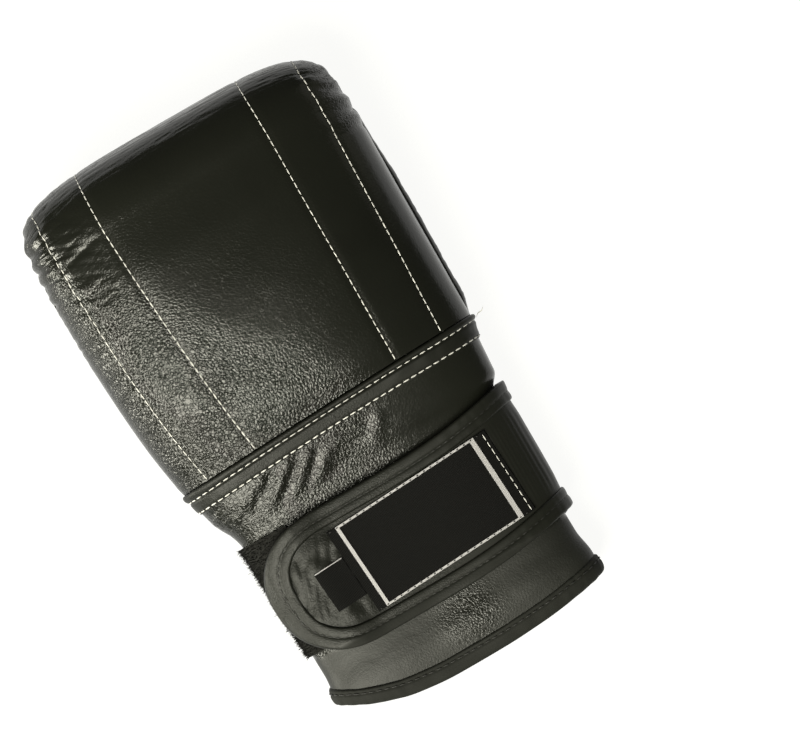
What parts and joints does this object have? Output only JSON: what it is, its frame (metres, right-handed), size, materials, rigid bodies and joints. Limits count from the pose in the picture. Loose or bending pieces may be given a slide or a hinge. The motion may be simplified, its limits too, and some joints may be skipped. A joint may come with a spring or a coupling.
{
  "type": "leather bag glove, left hand",
  "caption": "Padded leather mitt for striking a training bag, with a rounded lobe over the palm, a thumb pocket and a hook-and-loop wrist strap, lying palm down.",
  "frame": {"origin": "centre of the glove's footprint, on the table", "axes": "+X towards the thumb side, +Y towards the fingertips, +Z out of the back of the hand, up from the table"},
  "size_m": [0.1522, 0.2596, 0.063],
  "materials": {
    "smooth_leather": "black cowhide with a fine grain and a soft satin shine",
    "gloss_leather": "thin black leather, crinkled and glossy",
    "elastic": "matt black ribbed elastic",
    "loop_pile": "matt black fuzzy loop pile",
    "woven_label": "black woven label with an off-white woven frame",
    "white_thread": "off-white sewing thread",
    "black_thread": "black sewing thread"
  },
  "bodies": {
    "root": {"back_pad": "smooth_leather", "palm_panel": "gloss_leather", "thumb_stall": "gloss_leather", "thumb_piping": "gloss_leather", "seam_band": "smooth_leather", "cuff_back": "gloss_leather", "cuff_binding": "smooth_leather", "slit_gusset": "elastic", "wrist_strap": "smooth_leather", "strap_border": "smooth_leather", "loop_patch": "loop_pile", "label": "woven_label", "size_tag": "woven_label"}
  },
  "joints": []
}
